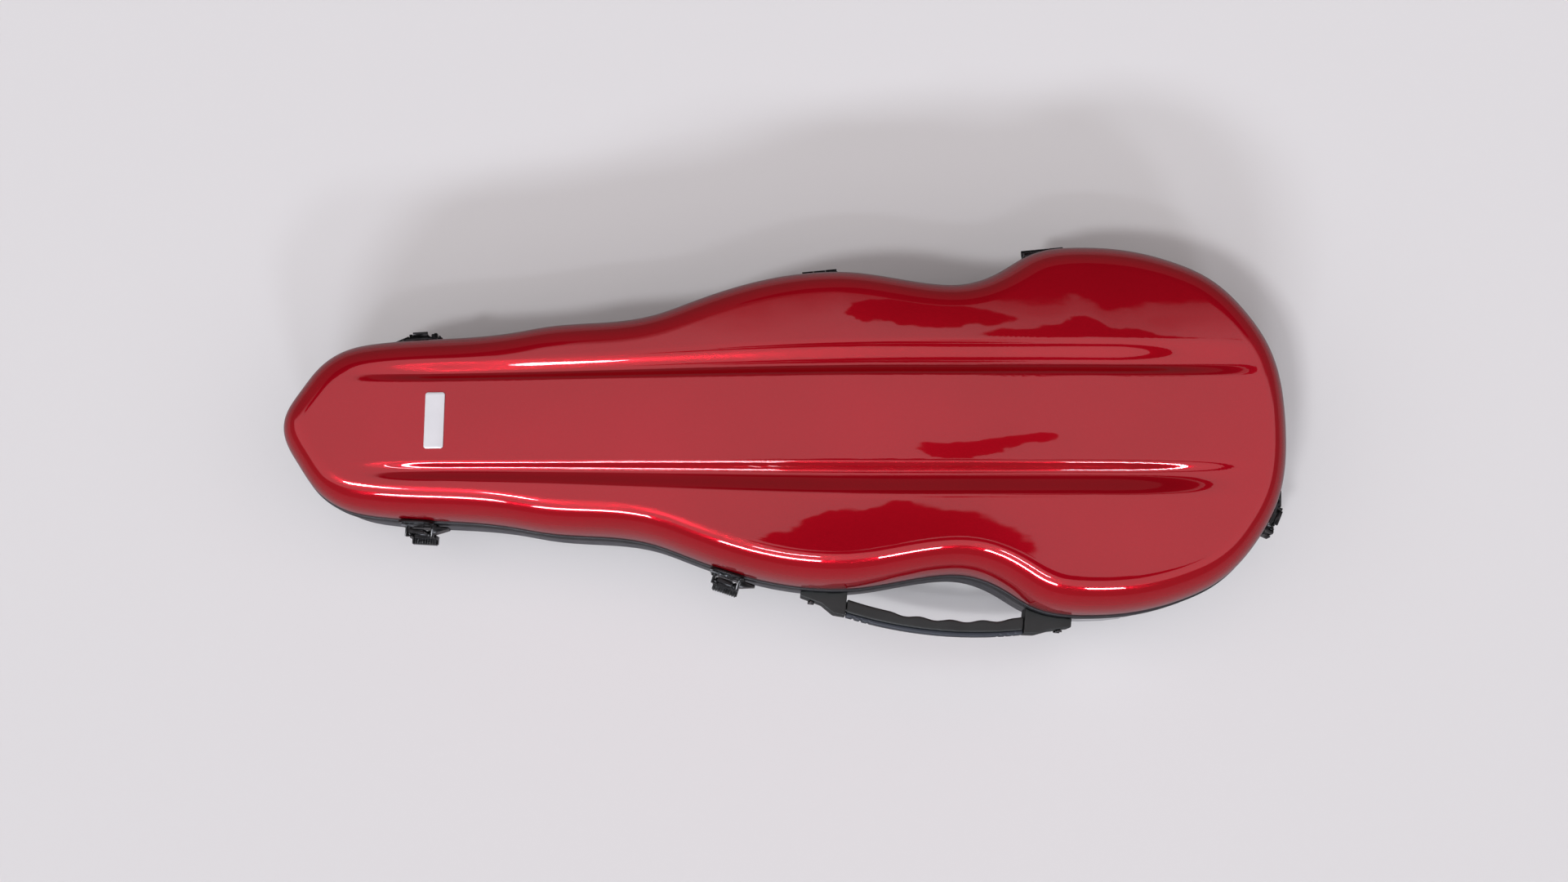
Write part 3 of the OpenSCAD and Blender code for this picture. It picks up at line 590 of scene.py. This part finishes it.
# The start of each kept node's name: its material and the rounding of its edges, in millimetres
HARDWARE = {
    "keeper": (LATCH, 0.3), "lid_leaf": (LATCH, 0.25), "base_leaf": (LATCH, 0.25),
    "latch_plate": (LATCH, 0.3), "lever": (LATCH, 0.25), "hook": (LATCH, 0.25),
    "hook_pin": (STEEL, 0.15), "lever_pins": (STEEL, 0.15),
    "hinge_pins": (STEEL, 0.15), "keeper_rivets": (STEEL, 0.3), "lid_leaf_rivets": (STEEL, 0.3),
    "base_leaf_rivets": (STEEL, 0.3), "latch_rivets": (STEEL, 0.3), "bracket_screws": (STEEL, 0.25),
    "bow_posts": (GRAINED, 0.5), "handle_pins": (STEEL, 0.2), "name_plate": (FOIL, 0.25),
    "side_sticker": (FOIL, 0.1),
}


def mould(name, material, voxel, smoothing):
    """Keeps a CAD node as a rounded moulding: even faces, then soft edges."""
    node = nodes[name]
    paint(node, material)
    add_weld(node)
    add_even_faces(node, voxel * MM, smoothing)


# Moulded nodes: material, voxel in millimetres, smoothing steps
MOULDED = {
    "handle_grip": (GRAINED, 0.8, 9), "handle_band": (BAND, 0.55, 3), "bracket_upper": (GRAINED, 0.7, 5),
    "bracket_lower": (GRAINED, 0.7, 5), "feet": (RUBBER, 0.8, 3), "bow_clip_left": (GRAINED, 0.6, 4),
    "bow_clip_right": (GRAINED, 0.6, 4),
}


def finish_hardware():
    """Moulded nodes first, then the rest by the longest name that fits."""
    for name, (material, voxel, smoothing) in MOULDED.items():
        mould(name, material, voxel, smoothing)
    for name in sorted(nodes):
        if nodes[name].hide_render or name in MOULDED:
            continue
        key = max((k for k in HARDWARE if name.startswith(k)), key=len, default=None)
        if key:
            finish_node(name, *HARDWARE[key])


# ---------------------------------------------------------------- soft goods

def evaluated_mesh(obj):
    graph = bpy.context.evaluated_depsgraph_get()
    return bpy.data.meshes.new_from_object(obj.evaluated_get(graph), depsgraph=graph)


def points_of(mesh):
    """The mesh's points, one row each."""
    flat = np.empty(len(mesh.vertices) * 3)
    mesh.vertices.foreach_get("co", flat)
    return flat.reshape(-1, 3)


def even_copy(name, node, voxel, smoothing, shrink=0.0):
    """A copy of a CAD solid with even faces and rounded edges."""
    obj = bpy.data.objects.new(name, nodes[node].data.copy())
    bpy.context.scene.collection.objects.link(obj)
    add_weld(obj)
    add_even_faces(obj, voxel, smoothing)
    mesh = evaluated_mesh(obj)
    obj.modifiers.clear()
    obj.data = mesh
    if shrink:
        normals = np.empty(len(mesh.vertices) * 3)
        mesh.vertex_normals.foreach_get("vector", normals)
        mesh.vertices.foreach_set("co", points_of(mesh).ravel() - shrink * normals)
    return obj


CLOTH_STEPS = 20


def stuff(obj, pressure, cap, held_below=None):
    """Blows a pad up like stuffed fabric, moving no point further than cap, in metres.

    Points below held_below stay where they are.
    """
    mesh = obj.data
    rest = points_of(mesh)
    cloth = obj.modifiers.new("cloth", "CLOTH")
    settings = cloth.settings
    settings.quality = 4
    settings.mass = 0.3
    settings.tension_stiffness = 12
    settings.compression_stiffness = 12
    settings.shear_stiffness = 6
    settings.bending_stiffness = 0.6
    settings.use_pressure = True
    settings.uniform_pressure_force = pressure
    settings.effector_weights.gravity = 0
    if held_below is not None:
        group = obj.vertex_groups.new(name="held")
        group.add([int(k) for k in np.nonzero(rest[:, 2] < held_below)[0]], 1.0, "REPLACE")
        settings.vertex_group_mass = "held"
    scene = bpy.context.scene
    for step in range(1, CLOTH_STEPS + 1):
        scene.frame_set(step)
    moved = points_of(evaluated_mesh(obj)) - rest
    length = np.linalg.norm(moved, axis=1)
    moved *= np.minimum(1, cap / np.maximum(length, 1e-9))[:, None]
    obj.modifiers.clear()
    obj.vertex_groups.clear()
    scene.frame_set(1)
    mesh.vertices.foreach_set("co", (rest + moved).ravel())
    mesh.update()


def finish_base_pad(obj, node):
    paint(obj, PLUSH)
    for polygon in obj.data.polygons:
        polygon.use_smooth = True
        polygon.material_index = 0
    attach(obj, "base")
    stand_for(node)


def subdivided(obj):
    obj.modifiers.new("subdivide", "SUBSURF").levels = 1
    mesh = evaluated_mesh(obj)
    obj.modifiers.clear()
    obj.data = mesh


def piping(name, loop, height, radius, body):
    """A round bead of piping along a closed, level loop, in millimetres."""
    sides = 8
    count = len(loop)
    verts, faces = [], []
    for i in range(count):
        here = Vector((*loop[i], height))
        along = Vector((*(loop[(i + 1) % count] - loop[i - 1]), 0)).normalized()
        side = along.cross(Vector((0, 0, 1))).normalized()
        up = side.cross(along)
        for k in range(sides):
            turn = 2 * math.pi * k / sides
            verts.append((here + radius * (math.cos(turn) * side + math.sin(turn) * up)) * MM)
        faces += ring_faces(i * sides, (i + 1) % count * sides, sides)
    new_object(name, verts, faces, PIPING, body)


# Voxel, smoothing steps, shrink, pressure and cap of the small pads and of the big block, in metres
PAD_VOXEL, PAD_SMOOTHING, PAD_SHRINK, PAD_PRESSURE, PAD_CAP = 0.004, 3, 0.0012, 4.0, 0.003
BLOCK_VOXEL, BLOCK_SMOOTHING, BLOCK_SHRINK, BLOCK_PRESSURE, BLOCK_CAP = 0.0045, 6, 0.0004, 2.5, 0.0025
BLOCK_HELD_BELOW = 0.030
TRAY_VOXEL, TRAY_SMOOTHING = 0.0011, 2
WELL_PIPING_HEIGHT, WELL_PIPING_RADIUS = 70.6, 1.5


def make_soft_goods():
    make_lid_lining()
    block = even_copy("base_padding", "base_liner", BLOCK_VOXEL, BLOCK_SMOOTHING, BLOCK_SHRINK)
    stuff(block, BLOCK_PRESSURE, BLOCK_CAP, BLOCK_HELD_BELOW)
    finish_base_pad(block, "base_liner")
    for name, node in (("body_pads", "cavity_pads"), ("neck_rest", "neck_cradle")):
        pad = even_copy(name, node, PAD_VOXEL, PAD_SMOOTHING, PAD_SHRINK)
        stuff(pad, PAD_PRESSURE, PAD_CAP)
        subdivided(pad)
        finish_base_pad(pad, node)
    tray = even_copy("tray_plush", "accessory_tray", TRAY_VOXEL, TRAY_SMOOTHING)
    finish_base_pad(tray, "accessory_tray")
    well = smooth_loop(WELL, LOOP_SPACING, LOOP_SOFTNESS)
    piping("well_piping", well, WELL_PIPING_HEIGHT, WELL_PIPING_RADIUS, "base")
    make_strap()
    make_tip_loops()


LINING_OUT, LINING_IN = 3.2, 8.0                  # insets of the lining's two edges
LINING_OUT_SHOULDER, LINING_IN_SHOULDER = 25, 22
LINING_TOP_GAP, LINING_UNDERSIDE = 3.6, 13.5      # its two sides, down from the lid's top
LINING_VALLEY = 0.9                               # share of the lid's valleys that shows in it
ROLL_RISE = 2.2
LINING_PIPING_RISE, LINING_PIPING_RADIUS = 0.9, 1.1
CHANNEL_PLACE, CHANNEL_WIDTH, CHANNEL_DEPTH = 40, 2.2, 0.9


def make_lid_lining():
    """Padding that follows the inside of the lid, with a rolled lower edge and two sewn channels."""
    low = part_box("lid_liner")[0].z / MM
    turns = np.linspace(0.05, math.pi / 2, 18)
    shares = np.linspace(0.97, 0, 34)

    def outer_roof(x, y):
        return plain_roof(x, y) - LINING_VALLEY * valley(x, y) - LINING_TOP_GAP

    def inner_roof(x, y):
        channels = CHANNEL_DEPTH * np.exp(-(((np.abs(y) - CHANNEL_PLACE) / CHANNEL_WIDTH) ** 2))
        return plain_roof(x, y) - LINING_VALLEY * valley(x, y) - LINING_UNDERSIDE + channels

    outer = dome_rings(LINING_OUT, LINING_OUT_SHOULDER, LID_POWER, low + ROLL_RISE, outer_roof, turns, shares)
    inner = dome_rings(LINING_IN, LINING_IN_SHOULDER, LID_POWER, low + ROLL_RISE, inner_roof, turns, shares)
    middle = (LINING_OUT + LINING_IN) / 2
    roll = []
    for turn in np.linspace(0, math.pi, 7):
        ring = inset(middle - (middle - LINING_OUT) * math.cos(turn))
        height = low + ROLL_RISE + 0.1 - ROLL_RISE * math.sin(turn)
        roll.append(np.column_stack([ring, np.full(len(ring), height)]))
    lining = dome("lid_lining", outer, roll + inner, PLUSH_LID, "lid")
    stand_for("lid_liner")
    piping("lid_lining_piping", inset(middle), low + LINING_PIPING_RISE, LINING_PIPING_RADIUS, "lid")


# Half of a strap's rounded section, as shares of its width and thickness
RIBBON_EDGE = [(-0.5, 0), (-0.485, 0.42), (-0.45, 0.5), (0.45, 0.5), (0.485, 0.42)]
RIBBON_SECTION = RIBBON_EDGE + [(-u, -v) for u, v in RIBBON_EDGE]


def ribbon(name, path, wide, thickness, body):
    """A woven strap whose width lies along X, following a path of points, in millimetres."""
    path = np.array(path, float)
    verts, faces = [], []
    for i, place in enumerate(path):
        along = path[min(i + 1, len(path) - 1)] - path[max(i - 1, 0)]
        normal = np.cross((1, 0, 0), along)
        normal /= np.linalg.norm(normal)
        for u, v in RIBBON_SECTION:
            verts.append((place + np.array([wide * u, 0, 0]) + normal * v * thickness) * MM)
    sides = len(RIBBON_SECTION)
    for i in range(len(path) - 1):
        faces += ring_faces(i * sides, (i + 1) * sides, sides)
    faces += [tuple(range(sides)), tuple(range((len(path) - 1) * sides, len(path) * sides))]
    return new_object(name, verts, faces, WEBBING, body)


STRAP_THICKNESS, STRAP_BOW = 1.5, 0.5
PATCH_THICKNESS, PATCH_RISE = 0.8, 1.4
PATCH_MARGIN, PATCH_START, PATCH_END = 3, 4, 3
LOOP_THICKNESS, LOOP_SHORTER = 1.3, 0.8
LOOP_APART, LOOP_REACH = 22, 10.6  # each bow tip loop's distance from the centreline, and half its width
LOOP_SQUARENESS = 0.62


def make_strap():
    """The soft strap over the violin's neck, with a stitched end patch."""
    low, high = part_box("neck_strap")
    x, wide = (low.x + high.x) / 2 / MM, (high.x - low.x) / MM
    reach = high.y / MM
    z = (low.z + high.z) / 2 / MM
    path = [
        (x, y, z + STRAP_BOW * math.cos(math.pi * y / reach / 2)) for y in np.linspace(-reach, reach, 33)
    ]
    strap = ribbon("neck_strap_web", path, wide, STRAP_THICKNESS, "base")
    stand_for("neck_strap")
    patch_wide = wide - 2 * PATCH_MARGIN
    patch_path = [(x, y, z + PATCH_RISE) for y in np.linspace(PATCH_START, reach - PATCH_END, 9)]
    patch = ribbon("neck_strap_patch", patch_path, patch_wide, PATCH_THICKNESS, "base")


def squared(value):
    """A cosine or sine pushed out towards a rounded square."""
    return math.copysign(abs(value) ** LOOP_SQUARENESS, value)


def make_tip_loops():
    """Elastic loops for the tips of two bows, inside the lid."""
    low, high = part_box("bow_tip_loops")
    x, wide = (low.x + high.x) / 2 / MM, (high.x - low.x) / MM
    middle, half = (high.z + low.z) / 2 / MM, (high.z - low.z) / 2 / MM - LOOP_SHORTER
    for name, side in (("bow_tip_loop_right", -1), ("bow_tip_loop_left", 1)):
        path = [
            (x, side * LOOP_APART + LOOP_REACH * squared(math.cos(a)), middle + half * squared(math.sin(a)))
            for a in np.linspace(-math.pi * 0.5, math.pi * 1.5, 41)
        ]
        loop = ribbon(name, path, wide, LOOP_THICKNESS, "lid")
        if side < 0:
            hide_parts("bow_tip_loops")


# ---------------------------------------------------------------- studio

FLOOR_REACH = 6.0


def make_floor():
    """A plain pale floor, which looks darker in reflections, as a room does round its lit middle."""
    mesh = bpy.data.meshes.new("floor")
    corners = [(x * FLOOR_REACH, y * FLOOR_REACH, 0) for x, y in ((-1, -1), (1, -1), (1, 1), (-1, 1))]
    mesh.from_pydata(corners, [], [(0, 1, 2, 3)])
    floor = bpy.data.objects.new("floor", mesh)
    bpy.context.scene.collection.objects.link(floor)
    s = Shader("floor_paper")
    s.set(Base_Color=(0.80, 0.80, 0.78, 1), Roughness=0.9)
    darker = s.node("ShaderNodeBsdfDiffuse")
    darker.inputs["Color"].default_value = (0.26, 0.25, 0.25, 1)
    path = s.node("ShaderNodeLightPath")
    both = s.node("ShaderNodeMixShader")
    s.link(path.outputs["Is Glossy Ray"], both.inputs["Fac"])
    s.link(s.bsdf.outputs["BSDF"], both.inputs[1])
    s.link(darker.outputs["BSDF"], both.inputs[2])
    s.link(both.outputs["Shader"], s.tree.nodes["Material Output"].inputs["Surface"])
    mesh.materials.append(s.material)


AHEAD = 0.02  # the least that a ray points towards a plane to meet it


class Sky:
    """World nodes that lay soft patches of light and shade on a plain studio sky."""

    def __init__(self):
        self.world = bpy.data.worlds.new("studio")
        bpy.context.scene.world = self.world
        self.world.use_nodes = True
        self.tree = self.world.node_tree
        self.background = self.tree.nodes["Background"]
        ray = self.node("ShaderNodeTexCoord").outputs["Generated"]
        split = self.node("ShaderNodeSeparateXYZ", Vector=ray)
        self.x, self.y, self.z = (split.outputs[k] for k in "XYZ")

    def give(self, socket, value):
        """Sets a socket to a number or a vector, or links it to another socket."""
        if isinstance(value, bpy.types.NodeSocket):
            self.tree.links.new(value, socket)
        else:
            socket.default_value = value

    def node(self, kind, settings=None, **inputs):
        made = self.tree.nodes.new(kind)
        for key, value in (settings or {}).items():
            setattr(made, key, value)
        for key, value in inputs.items():
            self.give(made.inputs[key.replace("_", " ")], value)
        return made

    def math(self, operation, *values, kind="ShaderNodeMath", output="Value"):
        made = self.node(kind, {"operation": operation})
        for socket, value in zip(made.inputs, values):
            self.give(socket, value)
        return made.outputs[output]

    def vector_math(self, operation, *values, output="Vector"):
        return self.math(operation, *values, kind="ShaderNodeVectorMath", output=output)

    def plane(self, depth, across, along, ripple=0.0, scale=3.0):
        """Where a ray meets a plane one unit away, and a mask of the rays that meet it."""
        safe = self.math("MAXIMUM", depth, AHEAD)
        join = self.node("ShaderNodeCombineXYZ")
        self.give(join.inputs["X"], self.math("DIVIDE", across, safe))
        self.give(join.inputs["Y"], self.math("DIVIDE", along, safe))
        place = join.outputs["Vector"]
        if ripple:
            noise = self.node("ShaderNodeTexNoise", Scale=scale, Detail=4.0, Vector=place)
            shift = self.vector_math("MULTIPLY_ADD", noise.outputs["Color"], (ripple, ripple, 0), place)
            place = self.vector_math("SUBTRACT", shift, (ripple / 2, ripple / 2, 0))
        return place, self.math("GREATER_THAN", depth, AHEAD)

    def patch(self, plane, centre, size, turn=0.0, soft=0.15, round_shape=False):
        """1 inside a rectangle or ellipse on a plane, 0 outside it."""
        place, ahead = plane
        mapping = self.node("ShaderNodeMapping", {"vector_type": "TEXTURE"}, Vector=place)
        mapping.inputs["Location"].default_value = (*centre, 0)
        mapping.inputs["Rotation"].default_value = (0, 0, math.radians(turn))
        mapping.inputs["Scale"].default_value = (*size, 1)
        inside = mapping.outputs["Vector"]
        if round_shape:
            reach = self.vector_math("LENGTH", inside, output="Value")
        else:
            split = self.node("ShaderNodeSeparateXYZ", Vector=inside)
            sides = [self.math("ABSOLUTE", split.outputs[k]) for k in "XY"]
            reach = self.math("MAXIMUM", *sides)
        fade = self.node(
            "ShaderNodeMapRange", {"interpolation_type": "SMOOTHSTEP"}, Value=reach, From_Min=1 - soft,
            From_Max=1.0, To_Min=1.0, To_Max=0.0,
        )
        return self.math("MULTIPLY", fade.outputs["Result"], ahead)

    def blend(self, under, over, mask):
        """The colour under, with the plain colour over where the mask is 1."""
        made = self.node("ShaderNodeMix", {"data_type": "RGBA"})
        self.give(made.inputs["Factor"], mask)
        self.give(made.inputs["A"], (*under, 1) if isinstance(under, tuple) else under)
        self.give(made.inputs["B"], (*over, 1))
        return made.outputs["Result"]


CEILING = (0.93, 0.85, 0.89)
SHADE = (0.03, 0.028, 0.028)
BACK_WALL = (0.15, 0.14, 0.14)
WINDOW = (34.0, 35.0, 39.0)
KEY = (85.0, 85.0, 90.0)
# Shaded places overhead: (centre), (half sizes), turn in degrees, one unit above the case
DARK_PATCHES = [
    ((0.07, 0.49), (0.080, 0.050), 0),
    ((0.25, 0.43), (0.120, 0.060), 0),
    ((0.115, 0.115), (0.035, 0.022), 30),
    ((0.02, -0.13), (0.150, 0.105), 20),
    ((-0.47, 0.60), (0.200, 0.260), 0),
    ((0.30, 0.75), (0.500, 0.220), 0),
    ((0.15, -0.34), (0.330, 0.110), 0),
]
# Windows in front of the case: (centre), (half sizes), one unit in front of it
WINDOWS = [((-0.27, 0.66), (0.20, 0.075)), ((0.29, 0.66), (0.09, 0.07)), ((-0.24, 1.35), (0.15, 0.05))]
# The main light, to the left and in front, and the pale ceiling, both one unit above the case
KEY_PLACE, KEY_SIZE, KEY_TURN = (-0.46, -0.46), (0.085, 0.055), 20
CEILING_PLACE, CEILING_SIZE = (0.0, -0.35), (2.2, 0.95)
RIPPLE, RIPPLE_SCALE = 0.17, 8.0
SKY_STRENGTH = 0.86


def make_sky():
    sky = Sky()
    over = sky.plane(sky.z, sky.x, sky.y, ripple=RIPPLE, scale=RIPPLE_SCALE)
    colour = sky.blend(BACK_WALL, CEILING, sky.patch(over, CEILING_PLACE, CEILING_SIZE, soft=0.2))
    for centre, size, turn in DARK_PATCHES:
        colour = sky.blend(colour, SHADE, sky.patch(over, centre, size, turn, soft=0.08, round_shape=True))
    high = sky.plane(sky.z, sky.x, sky.y)
    colour = sky.blend(colour, KEY, sky.patch(high, KEY_PLACE, KEY_SIZE, KEY_TURN, soft=0.1))
    front = sky.plane(sky.math("MULTIPLY", sky.y, -1.0), sky.x, sky.z)
    for centre, size in WINDOWS:
        colour = sky.blend(colour, WINDOW, sky.patch(front, centre, size, soft=0.05))
    sky.tree.links.new(colour, sky.background.inputs["Color"])
    sky.background.inputs["Strength"].default_value = SKY_STRENGTH


# ---------------------------------------------------------------- build

make_camera()
make_lid()
make_base()
make_rims()
make_soft_goods()
finish_hardware()
make_floor()
make_sky()
bpy.context.scene.view_settings.view_transform = "Standard"
